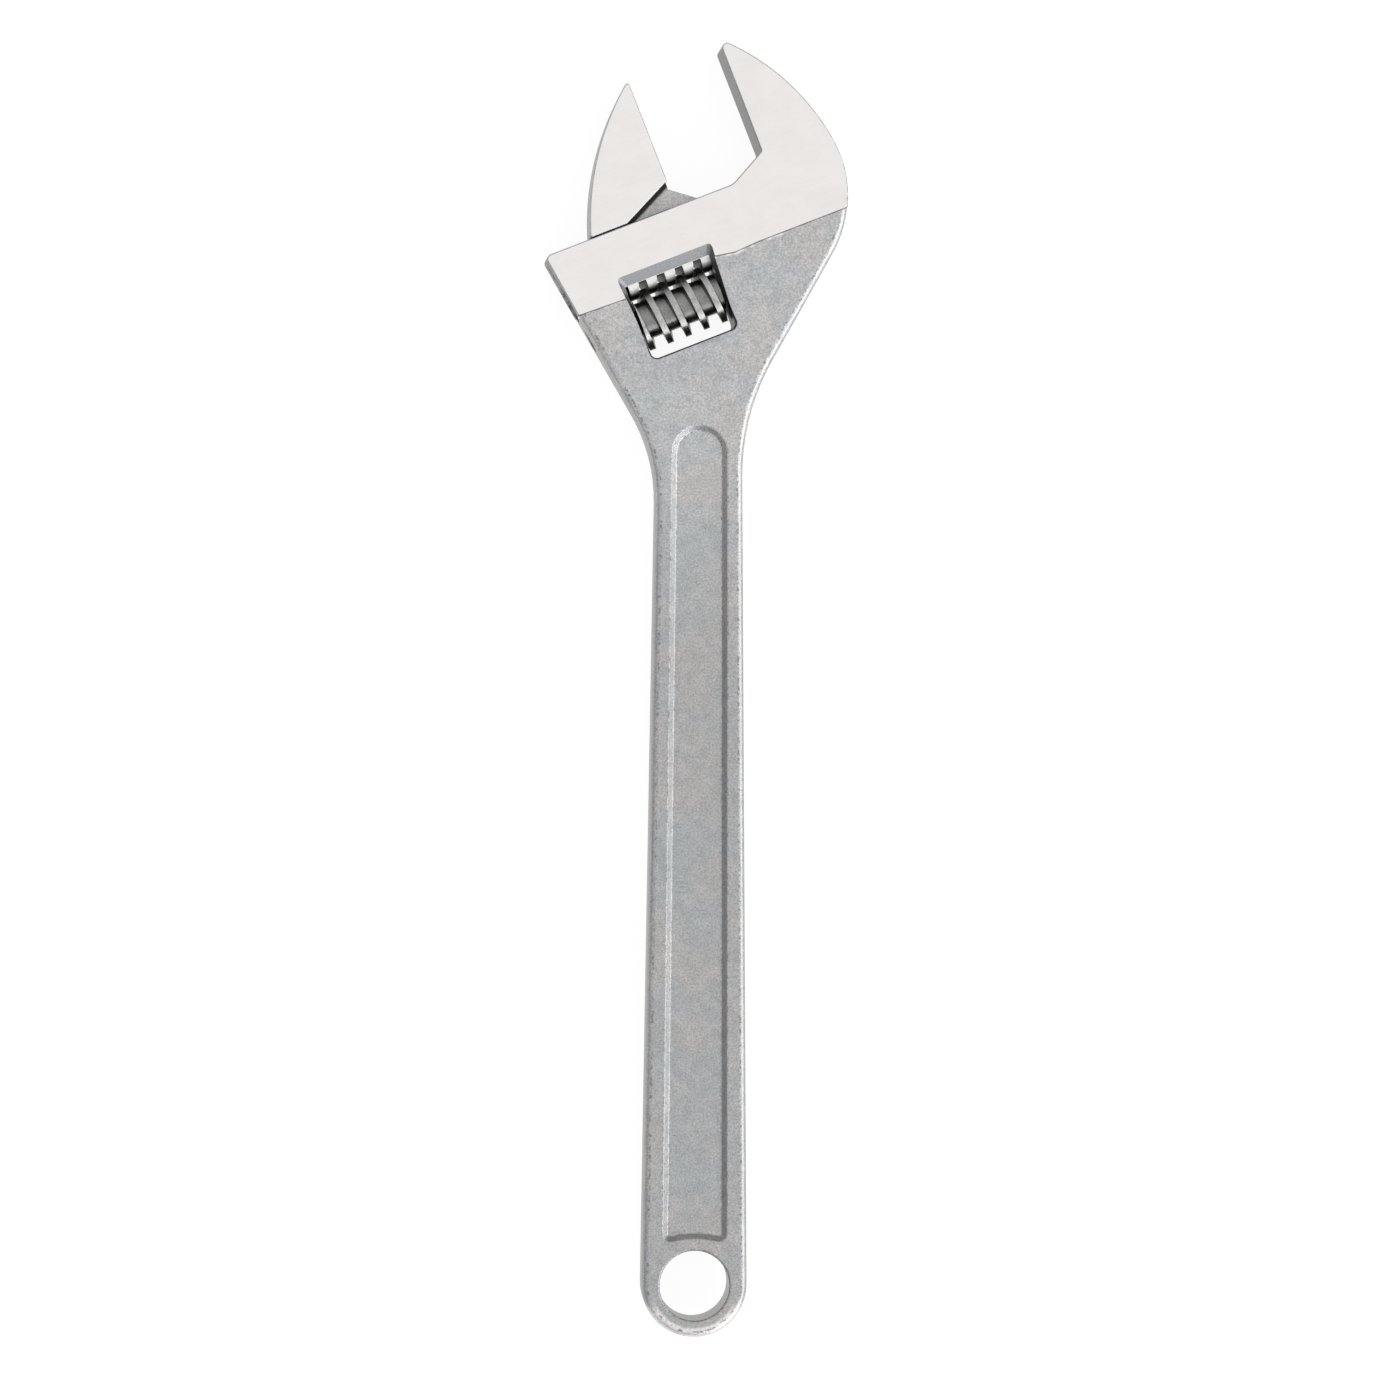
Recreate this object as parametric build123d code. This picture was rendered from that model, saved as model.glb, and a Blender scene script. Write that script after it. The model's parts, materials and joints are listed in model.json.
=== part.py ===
"""Adjustable wrench of the 24 inch size: a forged body, a sliding jaw, and the worm that drives it.

Frame, in millimetres: the origin is the centre of the hanging hole at mid-thickness. +Y runs along
the handle to the head, +X is on the fixed jaw's side and +Z points out of the upper cheek.

The head is drawn in its own flat axes: U is the way the jaw slides, towards the fixed jaw, and V
points out of the mouth, square to U. The worm turns about U, through U = 0, V = 0.
"""
import os
from math import asin, atan, cos, degrees, pi, radians, sin, sqrt

from build123d import *

# --- Driving dimensions -------------------------------------------------------------------------
SLIDE_ANGLE = 21.7          # between the jaw's travel and +X, degrees
HEAD_CENTRE = (-9.67, 461.75)   # middle of the worm in the row's X and Y

HANDLE_HALF = 9.5           # half thickness of the handle
FORGED_HALF = 14.1          # half thickness of the forged head below the ground cheek
CHEEK_HALF = 14.5           # half thickness across the ground cheeks
FORGED_ROUND = 3.5          # rounding of the forged edges
CHEEK_ROUND = 0.8           # edge break of the ground cheek

END_RADIUS = 24.9           # round end of the handle
END_CENTRE_Y = 0.4
HOLE_RADIUS = 16.5          # hanging hole
HOLE_ROUND = 1.2            # rounding of its rims
NECK_Y = 349.0              # where the handle's half width is NECK_HALF
NECK_HALF = 20.8
THICKEN_FROM = 409.0        # the handle starts to thicken here, and is at full thickness at THICKEN_TO
THICKEN_TO = 470.0

FLARE_OPEN_ANGLE = 30.0     # the flare on the open side, from +Y
FLARE_OPEN_POINT = (-31.8, 411.2)
FLARE_OPEN_ROUND = 80.0
FLARE_JAW_ANGLE = 29.0      # the flare on the fixed jaw's side, from +Y
FLARE_JAW_ROUND = 112.0
LOBE_CENTRE = (14.7, 513.6)     # lower arc of the fixed jaw's back
LOBE_RADIUS = 54.2
BACK_RADIUS = 106.3         # upper arc of the fixed jaw's back
BACK_TURN = 29.9            # the two arcs meet at this angle above +X, seen from the lobe's centre

HEAD_TOP_V = 44.2           # the flat that the movable jaw slides on
GROUND_EDGE = [             # where the ground cheek ends, in U and V
    (-60.0, 13.2),
    (-21.2, 12.1),
    (21.2, 16.2),
    (33.0, 14.2),
    (45.0, 14.9),
    (100.0, 14.9),
]
FIXED_FACE_U = 61.8
FACE_FOOT_V = 53.8          # the fixed jaw's face starts here
THROAT_U = 43.5             # the throat's slope meets the flat here
THROAT_ROUND = 8.0
FACE_FOOT_ROUND = 1.5
TIP_ROUND = 2.5             # of the fixed jaw's tip and the head's open corner

WINDOW_HALF = 21.2          # the worm's window, along U
WINDOW_FOOT_V = -19.0
WINDOW_CORNER = 3.0
WINDOW_BREAK = 0.8          # width of the edge break round the window's foot
WINDOW_BREAK_TAPER = 40.0   # degrees
BEVEL_DEPTH = 3.4           # the bevel round the window's upper part
BEVEL_TOP_V = 22.4
BEVEL_TOP_HALF = 23.8
BEVEL_FOOT_V = 17.6
BEVEL_FOOT_RUN = 0.1        # what is left of the bevel's width at the window's foot
BEVEL_CORNER = 2.5

BORE_V = 22.5               # axis of the slide bore
BORE_RADIUS = 12.05
BORE_END_U = 74.6
SLOT_HALF = 5.2             # the slot that the web of the movable jaw runs in
SLOT_END_GAP = 0.25         # between the web's heel and the slot's end when the jaw is closed
SLOT_TOP_V = 60.0           # the slot's cutter reaches up to here, out of the throat

SLIDE_RADIUS = 11.9
SLIDE_FROM_U = -43.0
SLIDE_CHAMFER = 1.0
WEB_HALF = 5.0
WEB_FROM_U = -26.0
WEB_BURIED = 2.0            # how far the web is drawn into the cheek
HEEL = [(15.0, 53.4), (26.7, 44.4)]     # the web's heel, below the moving face
CLOSED_GAP = 0.3            # left between the faces when the jaw is closed
MOVING_FACE_U = 15.0
MOVING_FOOT_V = 56.6        # the undercut meets the moving face here
UNDERCUT_U = -9.7           # the undercut meets the sliding edge here
SLIDING_GAP = 0.4           # between the movable jaw and the flat
MOVING_BACK_CENTRE = (75.92, 502.38)
MOVING_BACK_RADIUS = 128.6
MOVING_TIP_ROUND = 1.2

PITCH = 9.15                # of the worm and the rack
WORM_RADIUS = 14.3
WORM_CORE = 9.1
WORM_HALF = 20.5
CREST_HALF = 1.45           # half width of the thread at its crest
THREAD_FOOT_HALF = 2.2      # half width of the thread at the core
THREAD_BURIED = 0.6         # how far the thread is drawn into the core
TOOTH_TIP_HALF = 1.9        # half width of a rack tooth at its tip
TOOTH_FOOT_HALF = 2.7
GAP_FOOT_V = 17.4           # bottom of the rack's gaps
GAP_BELOW = 3.0             # how far the gap's cutter reaches out of the teeth
RACK_PHASE_U = -0.2         # centre of one rack tooth at rest

PIN_RADIUS = 4.0
PIN_RUNNING = 0.08          # radial clearance of the worm on its pin
PIN_SEAT = 0.03             # radial clearance of the pin in the body
PIN_TO_U = 33.0
PIN_HEAD_RADIUS = 5.5
PIN_HEAD_FROM_U = -41.0
PIN_HEAD_LENGTH = 9.0
PIN_CHAMFER = 1.0
PIN_END_GAP = 0.5           # between the pin's end and the bottom of its hole
DRIVER_SLOT = (1.6, 2.2)    # width and depth

SPRING_WIRE = 1.1
SPRING_RADIUS = 5.5         # of the coil's centreline
SPRING_TURNS = 4
SPRING_GAP = 0.1            # left at the spring's ends, together
RECESS_RADIUS = 7.0         # counterbore in the worm for the spring
RECESS_DEPTH = 6.0

PANEL_DEPTH = 2.6
PANEL_DRAFT = 45.0          # degrees
PANEL_TOP_Y = 406.0
PANEL_TOP_HALF = 13.2
PANEL_FOOT_HALF = 15.3
PANEL_FOOT_Y = 19.5
PANEL_FOOT_RISE = 2.6
PANEL_CORNER = 3.6
PANEL_ROUND = 1.0           # of the panel's rim and its floor's edge

HEAD = Plane(
    origin=(*HEAD_CENTRE, 0),
    x_dir=(cos(radians(SLIDE_ANGLE)), sin(radians(SLIDE_ANGLE)), 0),
    z_dir=(0, 0, 1),
)
TRAVEL_IN = FIXED_FACE_U - MOVING_FACE_U - CLOSED_GAP
FAR = 200.0                 # further than anything in the head reaches
NEAR = 0.05                 # closer than any two edges lie


# --- Helpers ------------------------------------------------------------------------------------
def in_row(u, v):
    """A point of the head's axes as X and Y of the row."""
    point = HEAD.from_local_coords(Vector(u, v, 0))
    return Vector(point.X, point.Y, 0)


def in_head(x, y):
    """A point of the row as U and V."""
    return HEAD.to_local_coords(Vector(x, y, 0))


def on_circle(centre, radius, angle):
    return Vector(centre[0] + radius * cos(radians(angle)), centre[1] + radius * sin(radians(angle)), 0)


def crossing(p, p_way, q, q_way):
    """Where two lines of the XY plane cross; each is a point and a direction."""
    span = p_way.X * q_way.Y - p_way.Y * q_way.X
    t = ((q.X - p.X) * q_way.Y - (q.Y - p.Y) * q_way.X) / span
    return p + p_way * t


def circle_at(centre, radius, point, way, ahead):
    """Where a line meets a circle; ahead picks the crossing further along the line's direction."""
    to_centre = Vector(*centre, 0) - point
    along = to_centre.dot(way)
    half_chord = sqrt(radius**2 - (to_centre.length**2 - along**2))
    return point + way * (along + (half_chord if ahead else -half_chord))


def slab(face, half):
    """A flat outline made into a solid from -half to half."""
    return extrude(face, amount=half, both=True)


def corners_near(face, points, reach=0.5):
    """The outline's vertices at the given points."""
    return [v for v in face.vertices() if any((v.center() - p).length < reach for p in points)]


def edges_on_cheeks(solid):
    """The edges that lie in the two cheek planes."""
    return [e for e in solid.edges() if all(abs(v.Z) > CHEEK_HALF - NEAR for v in e.vertices())]


def along_slide(radius, from_u, to_u, v):
    """A cylinder along U."""
    start = in_row(from_u, v)
    axis = Plane(origin=start, z_dir=HEAD.x_dir)
    return axis * Cylinder(radius, to_u - from_u, align=(Align.CENTER, Align.CENTER, Align.MIN))


# --- Body ---------------------------------------------------------------------------------------
def body_outline():
    """The forging's outline at its parting plane."""
    lean = atan((END_RADIUS - NECK_HALF) / NECK_Y)
    side_jaw = Vector(END_RADIUS * cos(lean), END_CENTRE_Y + END_RADIUS * sin(lean), 0)
    side_open = Vector(-side_jaw.X, side_jaw.Y, 0)
    up_jaw = Vector(-sin(lean), cos(lean), 0)
    up_open = Vector(sin(lean), cos(lean), 0)

    flare_open_way = Vector(-sin(radians(FLARE_OPEN_ANGLE)), cos(radians(FLARE_OPEN_ANGLE)), 0)
    neck_open = crossing(side_open, up_open, Vector(*FLARE_OPEN_POINT, 0), flare_open_way)
    slide_way = HEAD.x_dir
    end_corner = crossing(neck_open, flare_open_way, in_row(0, HEAD_TOP_V), slide_way)

    lobe_foot = on_circle(LOBE_CENTRE, LOBE_RADIUS, -FLARE_JAW_ANGLE)
    flare_jaw_way = Vector(sin(radians(FLARE_JAW_ANGLE)), cos(radians(FLARE_JAW_ANGLE)), 0)
    neck_jaw = crossing(side_jaw, up_jaw, lobe_foot, flare_jaw_way)

    lobe_top = on_circle(LOBE_CENTRE, LOBE_RADIUS, BACK_TURN)
    step = LOBE_RADIUS - BACK_RADIUS
    back_centre = on_circle(LOBE_CENTRE, step, BACK_TURN)
    face_way = Vector(-HEAD.x_dir.Y, HEAD.x_dir.X, 0)
    tip = circle_at((back_centre.X, back_centre.Y), BACK_RADIUS, in_row(FIXED_FACE_U, 0), face_way, True)
    tip_turn = degrees(asin((tip.Y - back_centre.Y) / BACK_RADIUS))
    back_middle = on_circle((back_centre.X, back_centre.Y), BACK_RADIUS, (tip_turn + BACK_TURN) / 2)

    face_foot = in_row(FIXED_FACE_U, FACE_FOOT_V)
    throat = in_row(THROAT_U, HEAD_TOP_V)
    edges = [
        Line(side_jaw, neck_jaw),
        Line(neck_jaw, lobe_foot),
        ThreePointArc(lobe_foot, on_circle(LOBE_CENTRE, LOBE_RADIUS, 0), lobe_top),
        ThreePointArc(lobe_top, back_middle, tip),
        Line(tip, face_foot),
        Line(face_foot, throat),
        Line(throat, end_corner),
        Line(end_corner, neck_open),
        Line(neck_open, side_open),
        ThreePointArc(side_open, Vector(0, END_CENTRE_Y - END_RADIUS, 0), side_jaw),
    ]
    face = make_face(Wire(edges))
    face = fillet(corners_near(face, [neck_open]), FLARE_OPEN_ROUND)
    face = fillet(corners_near(face, [neck_jaw]), FLARE_JAW_ROUND)
    face = fillet(corners_near(face, [tip, end_corner]), TIP_ROUND)
    face = fillet(corners_near(face, [face_foot]), FACE_FOOT_ROUND)
    return fillet(corners_near(face, [throat]), THROAT_ROUND)


def face_height(y):
    """Half thickness of the forging at y."""
    part = min(max((y - THICKEN_FROM) / (THICKEN_TO - THICKEN_FROM), 0), 1)
    return HANDLE_HALF + (FORGED_HALF - HANDLE_HALF) * part**2 * (3 - 2 * part)


def forging(outline):
    """The forging: the outline, as thick as the handle and then the head, with rounded edges."""
    low, high = -2 * END_RADIUS, in_row(FIXED_FACE_U, 0).Y + FAR
    third = (THICKEN_TO - THICKEN_FROM) / 3
    swell = Bezier(
        (THICKEN_FROM, HANDLE_HALF),
        (THICKEN_FROM + third, HANDLE_HALF),
        (THICKEN_TO - third, FORGED_HALF),
        (THICKEN_TO, FORGED_HALF),
    )
    side = Line((low, HANDLE_HALF), (THICKEN_FROM, HANDLE_HALF)) + swell
    side += Line((THICKEN_TO, FORGED_HALF), (high, FORGED_HALF))
    side += mirror(side, about=Plane.XZ)
    side += Line((low, HANDLE_HALF), (low, -HANDLE_HALF))
    side += Line((high, FORGED_HALF), (high, -FORGED_HALF))
    side_plane = Plane(origin=(-FAR, 0, 0), x_dir=(0, 1, 0), z_dir=(1, 0, 0))
    block = extrude(side_plane * make_face(side), amount=2 * FAR)
    solid = slab(outline, FAR / 4) & block
    rim = [e for e in solid.edges() if all(abs(v.Z) > HANDLE_HALF / 2 for v in e.vertices())]
    inner = [e for e in rim if not is_across(e)]
    return fillet(inner, FORGED_ROUND)


def is_across(edge):
    """True for a straight edge that runs square across the handle, where the taper begins and ends."""
    ends = [v.center() for v in edge.vertices()]
    return edge.geom_type == GeomType.LINE and abs(ends[0].Y - ends[-1].Y) < NEAR


def ground_cheek(outline):
    """The part of the head that is ground flat and parallel, above GROUND_EDGE."""
    above = Polygon(*GROUND_EDGE, (FAR, FAR), (-FAR, FAR), align=None)
    solid = slab(outline & HEAD * above, CHEEK_HALF)
    highest = max(v for u, v in GROUND_EDGE)
    rim = [e for e in edges_on_cheeks(solid) if in_head(*tuple(e.center())[:2]).Y > highest + NEAR]
    return fillet(rim, CHEEK_ROUND)


def window():
    """The opening that the worm turns in, with a bevel round its upper part on both faces."""
    middle = (BEVEL_FOOT_V + WINDOW_FOOT_V) / 2
    hole = Pos(0, middle) * Rectangle(2 * WINDOW_HALF, BEVEL_FOOT_V - WINDOW_FOOT_V)
    feet = [v for v in hole.vertices() if v.Y < middle]
    cut = HEAD * slab(fillet(feet, WINDOW_CORNER), FAR / 4)
    foot = WINDOW_FOOT_V + WINDOW_CORNER
    outer = Polygon(
        (-BEVEL_TOP_HALF, BEVEL_TOP_V),
        (BEVEL_TOP_HALF, BEVEL_TOP_V),
        (WINDOW_HALF + BEVEL_FOOT_RUN, foot),
        (-WINDOW_HALF - BEVEL_FOOT_RUN, foot),
        align=None,
    )
    inner = Polygon(
        (-WINDOW_HALF, BEVEL_FOOT_V),
        (WINDOW_HALF, BEVEL_FOOT_V),
        (WINDOW_HALF, foot),
        (-WINDOW_HALF, foot),
        align=None,
    )
    for side in (1, -1):
        faces = [Pos(0, 0, side * (CHEEK_HALF - BEVEL_DEPTH)) * inner, Pos(0, 0, side * CHEEK_HALF) * outer]
        bevel = loft(faces, ruled=True)
        corners = [e for e in bevel.edges() if BEVEL_FOOT_V < e.center().Y < BEVEL_TOP_V - NEAR]
        cut += HEAD * fillet(corners, BEVEL_CORNER)
    return cut


def window_break():
    """Cuts the edge break round the window's foot, where the head tapers, on both faces."""
    low_y, high_y = [in_row(side * WINDOW_HALF, WINDOW_FOOT_V).Y for side in (-1, 1)]
    slope = (face_height(high_y) - face_height(low_y)) / (high_y - low_y)
    centre_x, centre_y = HEAD_CENTRE
    rise = face_height(low_y) + slope * (centre_y - low_y)
    along = Vector(HEAD.x_dir.X, HEAD.x_dir.Y, slope * HEAD.x_dir.Y)
    face = Plane(origin=(centre_x, centre_y, rise), x_dir=along, z_dir=(0, -slope, 1))
    foot = WINDOW_FOOT_V - WINDOW_BREAK
    rim = Pos(0, foot / 2) * Rectangle(2 * (WINDOW_HALF + WINDOW_BREAK), -foot)
    feet = [v for v in rim.vertices() if v.Y < foot / 2]
    rim = fillet(feet, WINDOW_CORNER + WINDOW_BREAK)
    cutter = extrude(rim, amount=-2 * WINDOW_BREAK, taper=WINDOW_BREAK_TAPER)
    cutter = face * (cutter + extrude(rim, amount=WINDOW_BREAK))
    return cutter + mirror(cutter, about=Plane.XY)


def slide_way_cut():
    """The bore for the slide, and the slot above it that the web runs in."""
    bore = along_slide(BORE_RADIUS, -FAR, BORE_END_U, BORE_V)
    top, bottom = [(u + TRAVEL_IN + SLOT_END_GAP, v + SLOT_END_GAP) for u, v in HEEL]
    slot = Polygon(
        (-FAR, BORE_V),
        (bottom[0], BORE_V),
        bottom,
        top,
        (top[0], SLOT_TOP_V),
        (-FAR, SLOT_TOP_V),
        align=None,
    )
    return bore + HEAD * slab(slot, SLOT_HALF)


def pin_hole():
    """The worm pin's hole: through from the open side, and blind beyond the window."""
    hole = along_slide(PIN_RADIUS + PIN_SEAT, -FAR, PIN_TO_U + PIN_END_GAP, 0)
    head_hole = along_slide(PIN_HEAD_RADIUS + PIN_SEAT, -FAR, PIN_HEAD_FROM_U + PIN_HEAD_LENGTH, 0)
    return hole + head_hole


def panel(half):
    """The recess in one face of the handle; half is the height of that face."""
    foot_corner = Vector(PANEL_FOOT_HALF, PANEL_FOOT_Y)
    shoulder = Vector(PANEL_TOP_HALF, PANEL_TOP_Y - PANEL_TOP_HALF)
    outline = [
        Line(foot_corner, shoulder),
        ThreePointArc(shoulder, Vector(0, PANEL_TOP_Y), Vector(-shoulder.X, shoulder.Y)),
        Line(Vector(-shoulder.X, shoulder.Y), Vector(-foot_corner.X, foot_corner.Y)),
        ThreePointArc(
            Vector(-foot_corner.X, foot_corner.Y),
            Vector(0, PANEL_FOOT_Y + PANEL_FOOT_RISE),
            foot_corner,
        ),
    ]
    face = make_face(Wire(outline))
    face = fillet(corners_near(face, [foot_corner, Vector(-foot_corner.X, foot_corner.Y)]), PANEL_CORNER)
    tool = extrude(Pos(0, 0, half) * face, amount=-PANEL_DEPTH, taper=PANEL_DRAFT)
    floor = [e for e in tool.edges() if abs(e.center().Z - half + PANEL_DEPTH) < NEAR]
    return fillet(floor, PANEL_ROUND)


def panel_rims(solid):
    """The edges where the panels' walls meet the handle's faces."""
    on_faces = [e for e in solid.edges() if abs(abs(e.center().Z) - HANDLE_HALF) < NEAR]
    between = [e for e in on_faces if PANEL_FOOT_Y - NEAR < e.center().Y < PANEL_TOP_Y + NEAR]
    return [e for e in between if abs(e.center().X) <= PANEL_FOOT_HALF]


def hanging_hole():
    return Cylinder(HOLE_RADIUS, 4 * HANDLE_HALF)


def body():
    outline = body_outline()
    solid = forging(outline) + ground_cheek(outline)
    solid -= hanging_hole()
    rims = [e for e in solid.edges().filter_by(GeomType.CIRCLE) if abs(e.radius - HOLE_RADIUS) < NEAR]
    solid = fillet(rims, HOLE_ROUND)
    recess = panel(HANDLE_HALF)
    solid -= recess
    solid -= mirror(recess, about=Plane.XY)
    solid = fillet(panel_rims(solid), PANEL_ROUND)
    solid -= window()
    solid -= window_break()
    solid -= slide_way_cut()
    solid -= pin_hole()
    return solid


# --- Movable jaw --------------------------------------------------------------------------------
def jaw_cheek():
    """The movable jaw's full-thickness cheek."""
    sliding_v = HEAD_TOP_V + SLIDING_GAP
    centre = MOVING_BACK_CENTRE
    face_way = Vector(-HEAD.x_dir.Y, HEAD.x_dir.X, 0)
    tip = circle_at(centre, MOVING_BACK_RADIUS, in_row(MOVING_FACE_U, 0), face_way, True)
    heel = circle_at(centre, MOVING_BACK_RADIUS, in_row(0, sliding_v), HEAD.x_dir * -1, True)
    tip_turn = 180 - degrees(asin((tip.Y - centre[1]) / MOVING_BACK_RADIUS))
    heel_turn = 180 - degrees(asin((heel.Y - centre[1]) / MOVING_BACK_RADIUS))
    middle = on_circle(centre, MOVING_BACK_RADIUS, (tip_turn + heel_turn) / 2)
    foot = in_row(MOVING_FACE_U, MOVING_FOOT_V)
    undercut = in_row(UNDERCUT_U, sliding_v)
    edges = [
        Line(foot, tip),
        ThreePointArc(tip, middle, heel),
        Line(heel, undercut),
        Line(undercut, foot),
    ]
    face = make_face(Wire(edges))
    face = fillet(corners_near(face, [tip]), MOVING_TIP_ROUND)
    solid = slab(face, CHEEK_HALF)
    return fillet(edges_on_cheeks(solid), CHEEK_ROUND)


def jaw_web():
    """The thin web that joins the cheek to the slide through the slot."""
    outline = Polygon(
        (WEB_FROM_U, BORE_V),
        (HEEL[1][0], BORE_V),
        HEEL[1],
        HEEL[0],
        (MOVING_FACE_U, MOVING_FOOT_V + WEB_BURIED),
        (WEB_FROM_U, HEAD_TOP_V + WEB_BURIED),
        align=None,
    )
    return HEAD * slab(outline, WEB_HALF)


def rack_gap():
    """One gap between rack teeth, leaning with the worm's thread, centred on U = 0."""
    half_foot = PITCH / 2 - TOOTH_FOOT_HALF
    half_mouth = PITCH / 2 - TOOTH_TIP_HALF
    mouth_v = BORE_V - SLIDE_RADIUS
    slope = (half_mouth - half_foot) / (GAP_FOOT_V - mouth_v)
    half_below = half_mouth + slope * GAP_BELOW
    lean = atan(PITCH / (2 * pi * (WORM_RADIUS + WORM_CORE) / 2))
    section = Polygon(
        (-half_below, mouth_v - GAP_BELOW),
        (half_below, mouth_v - GAP_BELOW),
        (half_foot, GAP_FOOT_V),
        (-half_foot, GAP_FOOT_V),
        align=None,
    )
    gap = slab(section, 2 * SLIDE_RADIUS)
    return Rot(0, degrees(lean), 0) * gap


def movable_jaw():
    slide_to = HEEL[1][0]
    slide = along_slide(SLIDE_RADIUS, SLIDE_FROM_U, slide_to, BORE_V)
    slide = chamfer(slide.edges().filter_by(GeomType.CIRCLE), SLIDE_CHAMFER)
    gap = rack_gap()
    first_step = round((SLIDE_FROM_U - RACK_PHASE_U) / PITCH) - 1
    last_step = round((slide_to - RACK_PHASE_U) / PITCH)
    for step in range(first_step, last_step + 1):
        slide -= HEAD * (Pos(RACK_PHASE_U + (step + 0.5) * PITCH, 0, 0) * gap)
    return jaw_cheek() + jaw_web() + slide


# --- Worm, pin and spring -----------------------------------------------------------------------
def worm():
    """The worm: one right-handed thread on a core, with a bore for the pin and a recess."""
    depth = WORM_RADIUS - WORM_CORE
    slope = (THREAD_FOOT_HALF - CREST_HALF) / depth
    foot_half = THREAD_FOOT_HALF + slope * THREAD_BURIED
    height = 2 * (WORM_HALF + PITCH)
    path = Helix(pitch=PITCH, height=height, radius=WORM_CORE)
    section = Plane(origin=path @ 0, x_dir=(1, 0, 0), z_dir=path % 0)
    profile = section * Polygon(
        (-THREAD_BURIED, -foot_half),
        (depth, -CREST_HALF),
        (depth, CREST_HALF),
        (-THREAD_BURIED, foot_half),
        align=None,
    )
    thread = Pos(0, 0, -height / 2) * sweep(profile, path=path, is_frenet=True)
    solid = thread + Cylinder(WORM_CORE, height)
    solid &= Cylinder(WORM_RADIUS + 1, 2 * WORM_HALF)
    solid -= Cylinder(PIN_RADIUS + PIN_RUNNING, 2 * WORM_HALF + 1)
    recess = Cylinder(RECESS_RADIUS, RECESS_DEPTH, align=(Align.CENTER, Align.CENTER, Align.MIN))
    solid -= Pos(0, 0, -WORM_HALF) * recess
    # On the helix the crest is at height z = PITCH * turns from its start, at the start's angle.
    crest_u = -height / 2
    wanted_u = RACK_PHASE_U + PITCH / 2
    turn = 360 * (wanted_u - crest_u) / PITCH
    return along_u(Rot(0, 0, -turn) * solid)


def along_u(shape):
    """Lays a shape drawn along Z, with X up, along U with X along V."""
    axis = Plane(origin=in_row(0, 0), x_dir=Vector(-HEAD.x_dir.Y, HEAD.x_dir.X, 0), z_dir=HEAD.x_dir)
    return axis * shape


def worm_pin():
    """The worm's axle, with a screwdriver slot in its head."""
    pin = along_slide(PIN_RADIUS, PIN_HEAD_FROM_U, PIN_TO_U, 0)
    head = along_slide(PIN_HEAD_RADIUS, PIN_HEAD_FROM_U, PIN_HEAD_FROM_U + PIN_HEAD_LENGTH, 0)
    width, depth = DRIVER_SLOT
    slot = HEAD * (Pos(PIN_HEAD_FROM_U, 0, 0) * Box(2 * depth, width, 3 * PIN_HEAD_RADIUS))
    solid = pin + head
    tip = [e for e in solid.edges() if abs(in_head(*tuple(e.center())[:2]).X - PIN_TO_U) < NEAR]
    return chamfer(tip, PIN_CHAMFER) - slot


def worm_spring():
    """The small compression spring round the pin, in the worm's recess."""
    room = RECESS_DEPTH + WINDOW_HALF - WORM_HALF
    height = room - SPRING_WIRE - SPRING_GAP
    path = Helix(pitch=height / SPRING_TURNS, height=height, radius=SPRING_RADIUS)
    section = Plane(origin=path @ 0, z_dir=path % 0) * Circle(SPRING_WIRE / 2)
    coil = sweep(section, path=path, is_frenet=True)
    start_u = -WINDOW_HALF + (room - height) / 2
    return along_u(Pos(0, 0, start_u) * coil)


PARTS = {
    "body": body,
    "movable_jaw": movable_jaw,
    "worm": worm,
    "worm_pin": worm_pin,
    "worm_spring": worm_spring,
}

if __name__ == "__main__":
    os.makedirs("parts", exist_ok=True)
    for name, make in PARTS.items():
        export_step(make(), f"parts/{name}.step")
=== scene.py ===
"""The looks of an adjustable wrench: plated forging with ground cheeks, steel jaw, worm, pin and spring.

Everything is in metres in the row's frame: the wrench lies flat, +Y runs along the handle to the
head and +Z points out of the upper cheek.
"""
import json
from math import atan2, hypot

import bpy
from mathutils import Matrix, Vector


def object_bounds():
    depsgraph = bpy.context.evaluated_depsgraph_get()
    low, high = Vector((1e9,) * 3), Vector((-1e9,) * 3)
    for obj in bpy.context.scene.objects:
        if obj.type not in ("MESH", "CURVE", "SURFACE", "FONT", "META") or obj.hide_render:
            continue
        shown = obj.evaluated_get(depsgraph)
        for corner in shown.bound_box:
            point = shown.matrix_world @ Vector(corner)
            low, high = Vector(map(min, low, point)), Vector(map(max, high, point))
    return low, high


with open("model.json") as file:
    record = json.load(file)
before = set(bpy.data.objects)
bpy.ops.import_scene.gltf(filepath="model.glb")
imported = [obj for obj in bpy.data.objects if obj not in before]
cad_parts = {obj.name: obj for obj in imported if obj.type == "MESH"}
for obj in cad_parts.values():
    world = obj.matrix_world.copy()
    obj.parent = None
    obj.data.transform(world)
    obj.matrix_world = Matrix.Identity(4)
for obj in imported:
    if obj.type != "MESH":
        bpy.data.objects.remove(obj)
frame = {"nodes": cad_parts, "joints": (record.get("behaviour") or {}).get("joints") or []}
cad_low, cad_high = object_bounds()

MM = 0.001
slide = next(j for j in frame["joints"] if j["name"] == "jaw_slide")
spin = next(j for j in frame["joints"] if j["name"] == "worm_spin")
SLIDE_WAY = Vector(slide["axis"]).normalized()
HEAD_CENTRE = Vector(spin["pos_m"])
HEAD_TURN = atan2(SLIDE_WAY.y, SLIDE_WAY.x)
CHEEK_Z = cad_high.z

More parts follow.
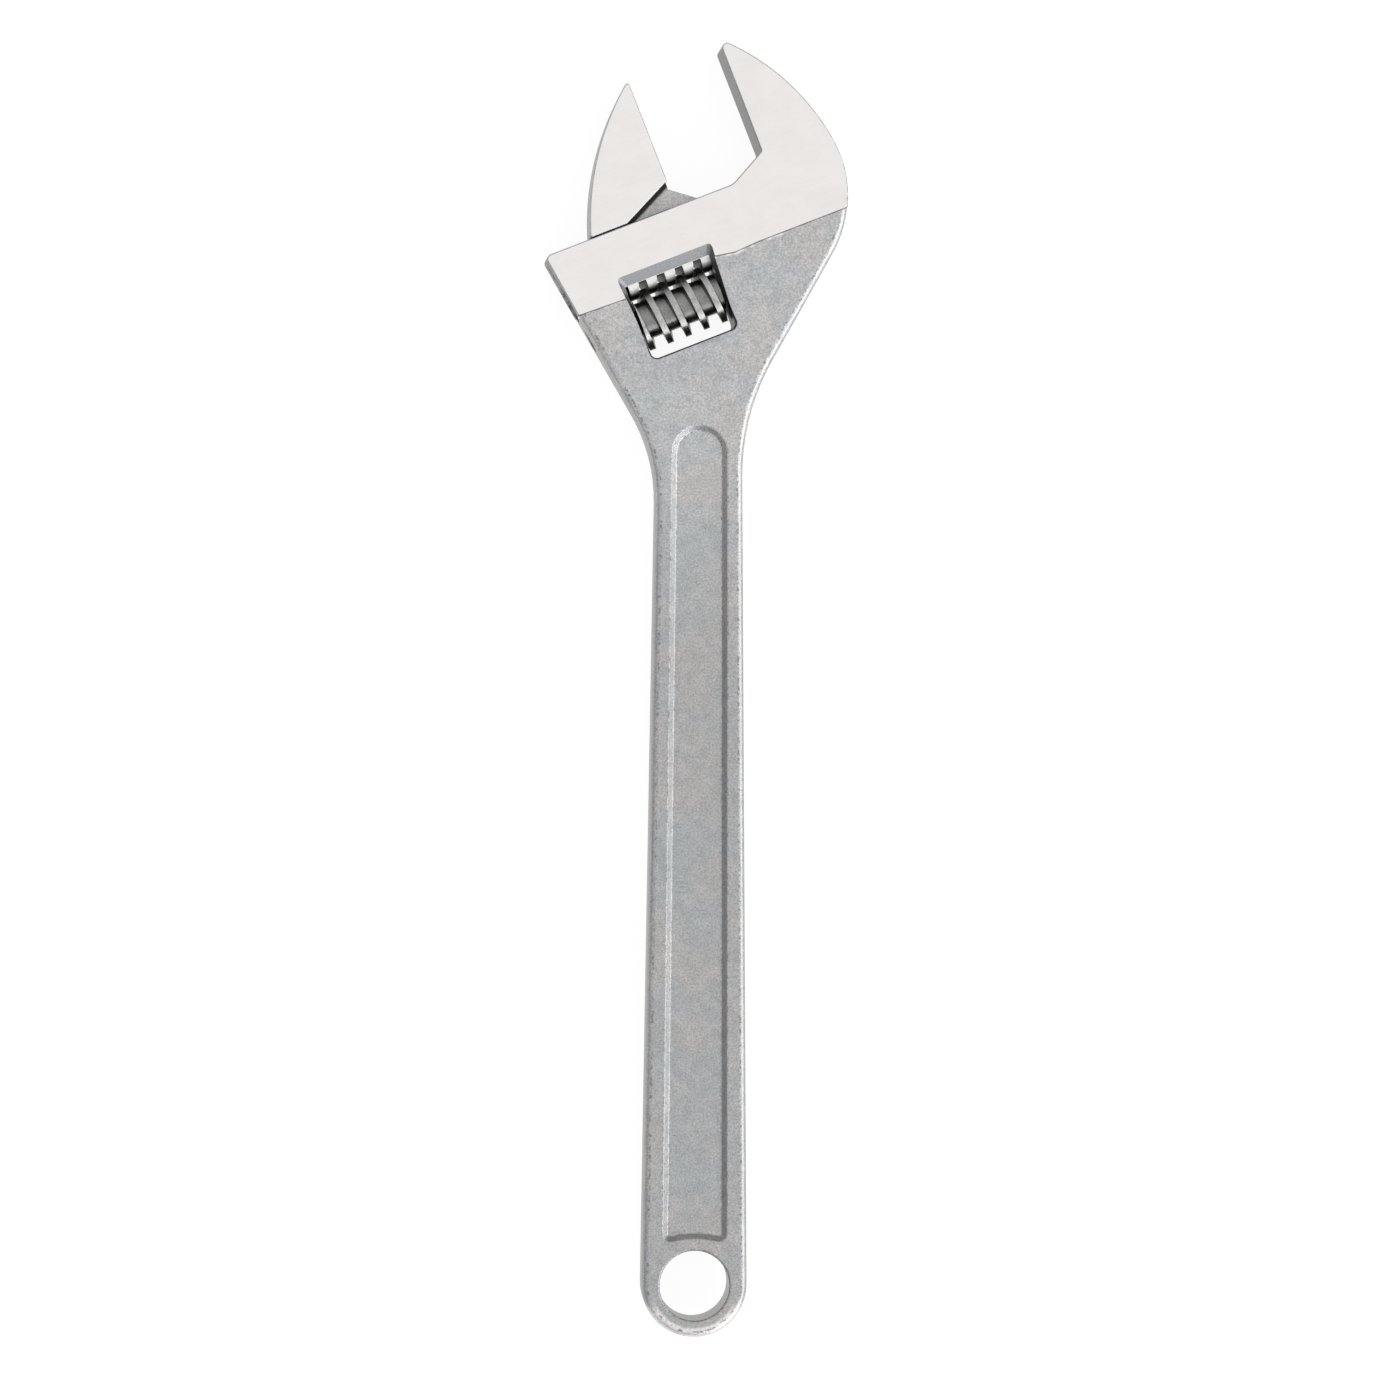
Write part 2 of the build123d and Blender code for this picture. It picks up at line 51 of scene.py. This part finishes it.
# --- Places in the head's own axes: U along the slide towards the fixed jaw, V out of the mouth ---
GROUND_EDGE = (                             # where the ground cheek ends, in U and V
    (-60 * MM, 13.2 * MM),
    (-21.2 * MM, 12.1 * MM),
    (21.2 * MM, 16.2 * MM),
    (33 * MM, 14.2 * MM),
    (45 * MM, 14.9 * MM),
    (100 * MM, 14.9 * MM),
)
EDGE_LOW, EDGE_HIGH = 10 * MM, 18 * MM      # the curve's reach in V
WINDOW_HALF_U = 24.4 * MM                   # the window with its bevel and edge break
WINDOW_MIDDLE_V = 1.2 * MM
WINDOW_HALF_V = 21.6 * MM
BEVEL_FROM_V = -14 * MM
SLIDE_TOP_V = 40 * MM                       # the movable jaw's slide and rack are below this
UNDERCUT_FOOT = (-9.7 * MM, 44.6 * MM)      # the movable jaw's undercut runs from here, in U and V
UNDERCUT_TOP = (15 * MM, 56.6 * MM)         # to here
RING_FOOT_Y = -6 * MM                       # a bright highlight is painted on the handle's round end below this
RING_INNER = 19.3 * MM                      # and outside this radius round the hanging hole
CORE_RADIUS = 9.6 * MM                      # painted shade darkens the worm inside this radius; it is brighter at its crest
CREST_RADIUS = 13.6 * MM

# --- Surfaces -------------------------------------------------------------------------------------
FORGED_GRAIN = 0.85 * MM                    # how large the forging's grain is
GRAIN_DEPTH = 0.25 * MM
TURNED_GRAIN = 0.8 * MM
TURNED_DEPTH = 0.15 * MM
GRINDING_LINE = 0.35 * MM                   # how wide a grinding line is
GRINDING_STRETCH = (0.06, 1.0, 1.0)         # and how much longer along the slide
MASK_EDGE = 0.1 * MM                        # a sharp mask fades over this much
SOFT, ROUGH = 0.5, 0.6                      # how much fine detail a noise has

# --- Studio ---------------------------------------------------------------------------------------
CAMERA_PLACE = (-0.1612, 0.3105, 2.0616)
CAMERA_AIM = (-0.0025, 0.2804, 0.0)
CAMERA_UP = (-0.00632, 1.0, 0.0)
CAMERA_LENS = 113.8
FLOOR_SIZE = 12.0
FLOOR_PAINT = (0.12, 0.12, 0.12)
FLOOR_GLOW = 0.92           # a light table: what the floor gives by itself
SKY_TOP = 1.02
SKY_HORIZON = 0.36
SOFTBOX = 2.6               # what the softbox adds to the sky, low on its own side
SOFTBOX_WAY = (0.94, -0.34)

# --- Colours --------------------------------------------------------------------------------------
PLATED_COOL = (0.455, 0.470, 0.480)
PLATED_WARM = (0.490, 0.480, 0.478)
GROUND = (0.812, 0.782, 0.770)
# painted shade on side faces: the head's sides, the forging's sides and the worm pin's faces turned along
# the slide
SIDE_SHADE = (0.17, 0.168, 0.165)
FORGED_SIDE_SHADE = (0.34, 0.335, 0.325)
# painted shade on the window's bevel, edge break and inner walls, and on the rack's gaps and the undercut
BEVEL_SHADE = (0.24, 0.25, 0.255)
WINDOW_EDGE_SHADE = (0.10, 0.10, 0.105)
RECESS_SHADE = (0.045, 0.042, 0.038)
# chips and pits in the plating, and the painted shade line along the ground cheek's edge
CHIP_AND_EDGE_SHADE = (0.14, 0.135, 0.13)
RACK_STEEL = (0.60, 0.60, 0.585)
# painted shade: the movable jaw's upstanding faces
JAW_SIDE_SHADE = (0.30, 0.30, 0.295)
WORM_CREST = (0.44, 0.44, 0.435)
# painted shade for the worm's core and thread flanks
WORM_CORE_SHADE = (0.25, 0.25, 0.24)
WORM_FLANK_SHADE = (0.10, 0.10, 0.10)
PIN_STEEL = (0.42, 0.42, 0.42)
SPRING_STEEL = (0.30, 0.30, 0.31)


# --- Node helpers ---------------------------------------------------------------------------------
class Nodes:
    """A node tree, with short calls for the nodes used here."""

    def __init__(self, tree):
        self.tree = tree
        self.place = tree.nodes.new("ShaderNodeTexCoord").outputs["Object"]

    def link(self, source, target):
        self.tree.links.new(source, target)

    def feed(self, socket, value):
        """Feeds a socket with a number, a colour or another node's output."""
        if isinstance(value, bpy.types.NodeSocket):
            self.link(value, socket)
        elif isinstance(value, tuple) and len(value) == 3 and socket.type == "RGBA":
            socket.default_value = (*value, 1.0)
        else:
            socket.default_value = value

    def math(self, operation, a, b=0.0):
        """One step of arithmetic on numbers or outputs."""
        node = self.tree.nodes.new("ShaderNodeMath")
        node.operation = operation
        self.feed(node.inputs[0], a)
        self.feed(node.inputs[1], b)
        return node.outputs[0]

    def both(self, *masks):
        """Masks multiplied together."""
        result = masks[0]
        for mask in masks[1:]:
            result = self.math("MULTIPLY", result, mask)
        return result

    def without(self, mask):
        """A mask turned round."""
        return self.math("SUBTRACT", 1.0, mask)

    def ramp(self, value, low, high, to_low=0.0, to_high=1.0):
        """Maps low..high to to_low..to_high, smoothly and clamped."""
        node = self.tree.nodes.new("ShaderNodeMapRange")
        node.interpolation_type = "SMOOTHSTEP"
        ends = {"From Min": low, "From Max": high, "To Min": to_low, "To Max": to_high}
        for name, number in ends.items():
            node.inputs[name].default_value = number
        self.feed(node.inputs["Value"], value)
        return node.outputs["Result"]

    def turned(self, vector, centre, turn):
        """A vector in axes with their origin at centre and turned about Z."""
        move = self.tree.nodes.new("ShaderNodeVectorMath")
        move.operation = "SUBTRACT"
        self.feed(move.inputs[0], vector)
        move.inputs[1].default_value = centre
        turner = self.tree.nodes.new("ShaderNodeVectorRotate")
        turner.rotation_type = "Z_AXIS"
        self.feed(turner.inputs["Vector"], move.outputs["Vector"])
        turner.inputs["Angle"].default_value = -turn
        return turner.outputs["Vector"]

    def scaled(self, vector, scale):
        """A vector with each of its axes scaled by its own factor."""
        node = self.tree.nodes.new("ShaderNodeVectorMath")
        node.operation = "MULTIPLY"
        self.feed(node.inputs[0], vector)
        node.inputs[1].default_value = scale
        return node.outputs["Vector"]

    def axis(self, vector, index):
        """One component of a vector."""
        node = self.tree.nodes.new("ShaderNodeSeparateXYZ")
        self.feed(node.inputs[0], vector)
        return node.outputs[index]

    def noise(self, grain, detail, rough=SOFT, vector=None):
        """Noise from 0 to 1, whose features are about grain metres across."""
        node = self.tree.nodes.new("ShaderNodeTexNoise")
        self.feed(node.inputs["Vector"], self.place if vector is None else vector)
        node.inputs["Scale"].default_value = 1.0 / grain
        node.inputs["Detail"].default_value = detail
        node.inputs["Roughness"].default_value = rough
        return node.outputs["Fac"]

    def mix(self, part, a, b, blend="MIX"):
        """Colour a, with part of colour b over it."""
        node = self.tree.nodes.new("ShaderNodeMix")
        node.data_type = "RGBA"
        node.blend_type = blend
        self.feed(node.inputs["Factor"], part)
        colours = [socket for socket in node.inputs if socket.type == "RGBA"]
        self.feed(colours[0], a)
        self.feed(colours[1], b)
        return next(socket for socket in node.outputs if socket.type == "RGBA")

    def bump(self, height, strength, distance):
        """A normal for relief of the given height."""
        node = self.tree.nodes.new("ShaderNodeBump")
        node.inputs["Strength"].default_value = strength
        node.inputs["Distance"].default_value = distance
        self.feed(node.inputs["Height"], height)
        return node.outputs["Normal"]


class Shader(Nodes):
    """A metal's node tree, with the places and normals that its masks use."""

    def __init__(self, name):
        self.material = bpy.data.materials.new(name)
        self.material.use_nodes = True
        super().__init__(self.material.node_tree)
        self.principled = self.tree.nodes["Principled BSDF"]
        self.principled.inputs["Metallic"].default_value = 1.0
        normal = self.tree.nodes.new("ShaderNodeNewGeometry").outputs["Normal"]
        self.upright = self.math("ABSOLUTE", self.axis(normal, 2))
        self.height = self.math("ABSOLUTE", self.axis(self.place, 2))
        self.head = self.turned(self.place, HEAD_CENTRE, HEAD_TURN)
        self.u = self.axis(self.head, 0)
        self.v = self.axis(self.head, 1)
        self.along_slide = self.math("ABSOLUTE", self.axis(self.turned(normal, (0, 0, 0), HEAD_TURN), 0))

    def shaded(self, colour, by):
        """A colour made lighter or darker by a factor."""
        return self.mix(1.0, colour, by, "MULTIPLY")

    def finish(self, colour, roughness, normal):
        """Feeds the shader and gives the finished material."""
        self.feed(self.principled.inputs["Base Color"], colour)
        self.feed(self.principled.inputs["Roughness"], roughness)
        self.feed(self.principled.inputs["Normal"], normal)
        return self.material


# --- Surfaces that more than one material has -----------------------------------------------------
def forged_grain(shader):
    """The forging's sandy grain."""
    return shader.noise(FORGED_GRAIN, 3.0, 0.65)


def forged_relief(shader, grain, ground):
    """The grain as relief, everywhere but on the ground faces."""
    return shader.bump(shader.both(grain, shader.without(ground)), 0.45, GRAIN_DEPTH)


def plated(shader, grain):
    """The plating's colour: cool and warm patches with a fine grain, pits, and a duller handle."""
    patches = shader.ramp(shader.noise(24 * MM, 3.0), 0.40, 0.62)
    colour = shader.mix(patches, PLATED_COOL, PLATED_WARM)
    dull = shader.ramp(shader.axis(shader.place, 1), 0.29, 0.41, 0.84, 1.0)
    colour = shader.shaded(shader.shaded(colour, dull), shader.ramp(grain, 0.30, 0.70, 0.78, 1.22))
    clouds = shader.ramp(shader.noise(6 * MM, 3.0, ROUGH), 0.3, 0.7, 0.94, 1.06)
    pits = shader.ramp(shader.noise(1.5 * MM, 3.0, ROUGH), 0.66, 0.72, 0.0, 0.45)
    return shader.mix(pits, shader.shaded(colour, clouds), CHIP_AND_EDGE_SHADE)


def ground_lines(shader):
    """The fine parallel lines that grinding leaves along the slide's direction."""
    return shader.noise(GRINDING_LINE, 2.0, SOFT, shader.scaled(shader.head, GRINDING_STRETCH))


def polished(shader, lines):
    """The ground cheeks' colour."""
    clouds = shader.ramp(shader.noise(14 * MM, 2.0), 0.3, 0.7, 0.98, 1.02)
    return shader.shaded(shader.shaded(GROUND, clouds), shader.ramp(lines, 0.2, 0.8, 0.98, 1.02))


def radius_of(shader, across, along):
    """How far a point is from an axis."""
    return shader.math("SQRT", shader.math("ADD", shader.both(across, across), shader.both(along, along)))


def ground_edge_distance(shader):
    """How far a point is out of the ground cheek's edge, along V."""
    low, high = GROUND_EDGE[0][0], GROUND_EDGE[-1][0]
    curve = shader.tree.nodes.new("ShaderNodeFloatCurve")
    line = curve.mapping.curves[0]
    places = [((u - low) / (high - low), (v - EDGE_LOW) / (EDGE_HIGH - EDGE_LOW)) for u, v in GROUND_EDGE]
    for x, y in places[1:-1]:
        line.points.new(x, y)
    for point, place in zip(line.points, places):
        point.location = place
        point.handle_type = "VECTOR"
    curve.mapping.update()
    along = shader.math("DIVIDE", shader.math("SUBTRACT", shader.u, low), high - low)
    shader.feed(curve.inputs["Value"], along)
    edge = shader.math("MULTIPLY", curve.outputs["Value"], EDGE_HIGH - EDGE_LOW)
    return shader.math("SUBTRACT", shader.v, shader.math("ADD", edge, EDGE_LOW))


# --- The body's forging ---------------------------------------------------------------------------
def window_masks(shader):
    """Where the window is, and where its bevel is within it."""
    across = shader.math("ABSOLUTE", shader.u)
    along = shader.math("ABSOLUTE", shader.math("SUBTRACT", shader.v, WINDOW_MIDDLE_V))
    window = shader.both(
        shader.ramp(across, WINDOW_HALF_U, WINDOW_HALF_U - MASK_EDGE),
        shader.ramp(along, WINDOW_HALF_V, WINDOW_HALF_V - MASK_EDGE),
    )
    return window, shader.both(window, shader.ramp(shader.v, BEVEL_FROM_V, BEVEL_FROM_V + 3 * MM))


def painted_end_highlight(shader):
    """Where a bright highlight is painted on the handle's round end."""
    across, along = shader.axis(shader.place, 0), shader.axis(shader.place, 1)
    from_hole = radius_of(shader, across, along)
    return shader.both(
        shader.ramp(along, RING_FOOT_Y, RING_FOOT_Y - 8 * MM),
        shader.ramp(from_hole, RING_INNER, RING_INNER + 1.5 * MM),
        shader.ramp(shader.noise(1.8 * MM, 3.0, 0.7), 0.34, 0.55, 0.35, 0.9),
    )


def ground_edge_lines(shader, colour, edge):
    """A painted shade line, dark and wandering, along the ground cheek's edge, and the painted glints
    below it.
    """
    wander = shader.ramp(shader.noise(5 * MM, 3.0, ROUGH), 0.3, 0.7, 0.2 * MM, 0.65 * MM)
    line = shader.ramp(shader.math("DIVIDE", shader.math("ABSOLUTE", edge), wander), 1.0, 0.5)
    beside = shader.both(shader.ramp(edge, -1.6 * MM, -0.9 * MM), shader.ramp(edge, -0.1 * MM, -0.5 * MM))
    glint = shader.both(beside, shader.ramp(shader.noise(9 * MM, 2.0), 0.50, 0.60))
    # painted glints: spots of bright ground colour just below the edge line
    colour = shader.mix(glint, colour, GROUND)
    # painted shade: the dark line along the ground cheek's edge
    return shader.mix(shader.both(line, 0.85), colour, CHIP_AND_EDGE_SHADE)


def window_colour(shader, colour, grain):
    """Painted shade on the window's cut surfaces: its bevel, its edge break and the walls inside it."""
    window, bevel = window_masks(shader)
    sloping = shader.ramp(shader.upright, 0.97, 0.90)
    bevel_shade = shader.shaded(BEVEL_SHADE, shader.ramp(grain, 0.3, 0.7, 0.85, 1.15))
    # painted shade on the window's sloping edge break and on its bevel
    colour = shader.mix(shader.both(window, sloping), colour, WINDOW_EDGE_SHADE)
    colour = shader.mix(shader.both(bevel, sloping), colour, bevel_shade)
    # painted shade: the walls inside the window are painted nearly black
    return shader.mix(shader.both(window, shader.ramp(shader.upright, 0.35, 0.15)), colour, RECESS_SHADE)


def forging_colour(shader, grain, edge):
    """The plated forging with its chipped surfaces, a painted highlight on its round end, painted glints,
    and painted shade on its sides, along the ground cheek's edge and on the window's cut surfaces.
    """
    colour = plated(shader, grain)
    # painted highlight: a bright ring of ground colour on the handle's round end
    colour = shader.mix(painted_end_highlight(shader), colour, GROUND)
    flake = shader.ramp(shader.noise(2.2 * MM, 3.0, 0.7), 0.52, 0.60)
    rounding = shader.both(
        shader.ramp(shader.upright, 0.86, 0.95),
        shader.ramp(shader.upright, 0.999, 0.985),
    )
    colour = shader.mix(shader.both(flake, rounding, 0.7), colour, CHIP_AND_EDGE_SHADE)
    # painted shade: the forging's upstanding side faces are painted darker
    colour = shader.mix(shader.ramp(shader.upright, 0.50, 0.15), colour, FORGED_SIDE_SHADE)
    colour = ground_edge_lines(shader, colour, edge)
    return window_colour(shader, colour, grain)


def plated_material():
    """The body: a plated forging with ground cheeks."""
    shader = Shader("plated_forging")
    grain = forged_grain(shader)
    lines = ground_lines(shader)
    edge = ground_edge_distance(shader)
    ground = shader.both(
        shader.ramp(shader.height, CHEEK_Z - 0.25 * MM, CHEEK_Z - 0.15 * MM),
        shader.ramp(shader.upright, 0.90, 0.97),
        shader.ramp(edge, 0.0, 0.2 * MM),
    )
    above = shader.ramp(edge, 0.0, 2 * MM)
    # painted shade: the head's side faces above the ground cheek's edge are painted dark
    side = shader.both(above, shader.ramp(shader.upright, 0.50, 0.15))
    colour = shader.mix(side, forging_colour(shader, grain, edge), SIDE_SHADE)
    colour = shader.mix(ground, colour, polished(shader, lines))
    roughness = shader.math(
        "ADD",
        shader.both(shader.ramp(grain, 0.2, 0.8, 0.34, 0.48), shader.without(ground)),
        shader.both(shader.ramp(lines, 0.2, 0.8, 0.28, 0.36), ground),
    )
    return shader.finish(colour, roughness, forged_relief(shader, grain, ground))


# --- The movable jaw ------------------------------------------------------------------------------
def undercut_distance(shader):
    """How far a point is out of the movable jaw's undercut, towards the web's heel."""
    (foot_u, foot_v), (top_u, top_v) = UNDERCUT_FOOT, UNDERCUT_TOP
    length = hypot(top_u - foot_u, top_v - foot_v)
    across = shader.math("MULTIPLY", shader.math("SUBTRACT", shader.u, foot_u), (top_v - foot_v) / length)
    along = shader.math("MULTIPLY", shader.math("SUBTRACT", shader.v, foot_v), (top_u - foot_u) / length)
    return shader.math("SUBTRACT", across, along)


def jaw_material():
    """The movable jaw: plated like the body, with a ground cheek, a bare rack and painted shade on its
    sides, in the rack's gaps and along its undercut.
    """
    shader = Shader("ground_steel")
    grain = forged_grain(shader)
    lines = ground_lines(shader)
    cheek = shader.both(
        shader.ramp(shader.height, CHEEK_Z - 0.9 * MM, CHEEK_Z - 0.3 * MM),
        shader.ramp(shader.upright, 0.85, 0.97),
    )
    upstanding = shader.ramp(shader.upright, 0.45, 0.20)
    rack = shader.ramp(shader.v, SLIDE_TOP_V, SLIDE_TOP_V - MM)
    out = undercut_distance(shader)
    undercut = shader.both(
        shader.ramp(out, -0.5 * MM, -0.2 * MM),
        shader.ramp(out, 2.6 * MM, 1.4 * MM),
        shader.ramp(shader.height, CHEEK_Z - 0.6 * MM, CHEEK_Z - 1.0 * MM),
        shader.ramp(shader.v, SLIDE_TOP_V - MM, SLIDE_TOP_V),
    )
    # painted shade: the jaw's upstanding faces are painted darker
    colour = shader.mix(upstanding, plated(shader, grain), JAW_SIDE_SHADE)
    colour = shader.mix(rack, colour, RACK_STEEL)
    # painted shade: the rack's gap walls and tooth tips are painted nearly black
    colour = shader.mix(shader.both(rack, shader.ramp(shader.upright, 0.75, 0.50)), colour, RECESS_SHADE)
    # painted shadow: a dark band on the web along the movable jaw's undercut
    colour = shader.mix(undercut, colour, RECESS_SHADE)
    colour = shader.mix(cheek, colour, polished(shader, lines))
    roughness = shader.ramp(cheek, 0.0, 1.0, 0.40, 0.32)
    return shader.finish(colour, roughness, forged_relief(shader, grain, cheek))


# --- Turned steel: worm, pin and spring -----------------------------------------------------------
def turned_material(name, outer, inner, flank_shade, roughness):
    """Turned steel with a fine, slightly stained grain, and painted shade that darkens the core and the
    flanks.
    """
    shader = Shader(name)
    radius = radius_of(shader, shader.v, shader.axis(shader.place, 2))
    # painted shade: inside CORE_RADIUS the worm's core is painted darker than its crest
    base = shader.mix(shader.ramp(radius, CORE_RADIUS, CREST_RADIUS), inner, outer)
    grain = shader.noise(TURNED_GRAIN, 3.0, ROUGH)
    stain = shader.noise(5 * MM, 3.0, 0.55)
    # painted shade: faces turned along the slide, the worm's thread flanks and the pin's, are painted
    # darker
    colour = shader.mix(shader.ramp(shader.along_slide, 0.35, 0.75), base, flank_shade)
    colour = shader.shaded(colour, shader.ramp(grain, 0.25, 0.75, 0.80, 1.20))
    colour = shader.shaded(colour, shader.ramp(stain, 0.3, 0.7, 0.82, 1.14))
    worn = shader.ramp(stain, 0.3, 0.7, roughness - 0.05, roughness + 0.07)
    return shader.finish(colour, worn, shader.bump(grain, 0.3, TURNED_DEPTH))


# --- Dressing the pieces --------------------------------------------------------------------------
def set_material(node, material):
    """Dresses a piece of the CAD in one material."""
    mesh = frame["nodes"][node].data
    mesh.materials.clear()
    mesh.materials.append(material)


def dress():
    """Gives every piece its material."""
    set_material("body", plated_material())
    set_material("movable_jaw", jaw_material())
    set_material("worm", turned_material("worm_steel", WORM_CREST, WORM_CORE_SHADE, WORM_FLANK_SHADE, 0.30))
    set_material("worm_pin", turned_material("pin_steel", PIN_STEEL, PIN_STEEL, SIDE_SHADE, 0.35))
    spring = turned_material("spring_steel", SPRING_STEEL, SPRING_STEEL, SPRING_STEEL, 0.30)
    set_material("worm_spring", spring)


# --- Floor, lights and camera ---------------------------------------------------------------------
def make_floor():
    """A pale, faintly lit floor under the wrench."""
    mesh = bpy.data.meshes.new("floor")
    half = FLOOR_SIZE / 2
    corners = [(x, y, cad_low.z) for x, y in ((-half, -half), (half, -half), (half, half), (-half, half))]
    mesh.from_pydata(corners, [], [(0, 1, 2, 3)])
    floor = bpy.data.objects.new("floor", mesh)
    bpy.context.scene.collection.objects.link(floor)
    material = bpy.data.materials.new("floor")
    material.use_nodes = True
    shader = material.node_tree.nodes["Principled BSDF"]
    shader.inputs["Base Color"].default_value = (*FLOOR_PAINT, 1.0)
    shader.inputs["Roughness"].default_value = 0.9
    shader.inputs["Specular IOR Level"].default_value = 0.0
    shader.inputs["Emission Color"].default_value = (1.0, 1.0, 1.0, 1.0)
    shader.inputs["Emission Strength"].default_value = FLOOR_GLOW
    mesh.materials.append(material)


def aim(thing, place, at, up=(0.0, 1.0, 0.0)):
    """Places a camera or a light and turns its -Z to a point."""
    back = (Vector(place) - Vector(at)).normalized()
    right = Vector(up).cross(back).normalized()
    over = back.cross(right)
    turn = Matrix((right, over, back)).transposed().to_4x4()
    thing.matrix_world = Matrix.Translation(place) @ turn


def make_sky():
    """Soft studio light from all round: bright overhead, dark at the horizon, with a low softbox."""
    world = bpy.data.worlds.new("studio")
    world.use_nodes = True
    nodes = Nodes(world.node_tree)
    way = nodes.tree.nodes.new("ShaderNodeTexCoord").outputs["Generated"]
    height = nodes.axis(way, 2)
    overhead = nodes.ramp(height, 0.10, 0.85, SKY_HORIZON, SKY_TOP)
    across = nodes.math("MULTIPLY", nodes.axis(way, 0), SOFTBOX_WAY[0])
    along = nodes.math("MULTIPLY", nodes.axis(way, 1), SOFTBOX_WAY[1])
    facing = nodes.ramp(nodes.math("ADD", across, along), 0.40, 0.85, 0.0, SOFTBOX)
    box = nodes.both(facing, nodes.ramp(height, 0.0, 0.15), nodes.ramp(height, 0.75, 0.45))
    background = world.node_tree.nodes["Background"]
    nodes.feed(background.inputs["Strength"], nodes.math("ADD", overhead, box))
    background.inputs["Color"].default_value = (1.0, 1.0, 1.0, 1.0)
    bpy.context.scene.world = world


def make_camera():
    """The camera, nearly straight above the wrench."""
    camera = bpy.data.objects.new("camera", bpy.data.cameras.new("camera"))
    bpy.context.scene.collection.objects.link(camera)
    camera.data.lens = CAMERA_LENS
    aim(camera, CAMERA_PLACE, CAMERA_AIM, CAMERA_UP)
    bpy.context.scene.camera = camera


dress()
make_floor()
make_sky()
make_camera()
bpy.context.scene.view_settings.view_transform = "Standard"
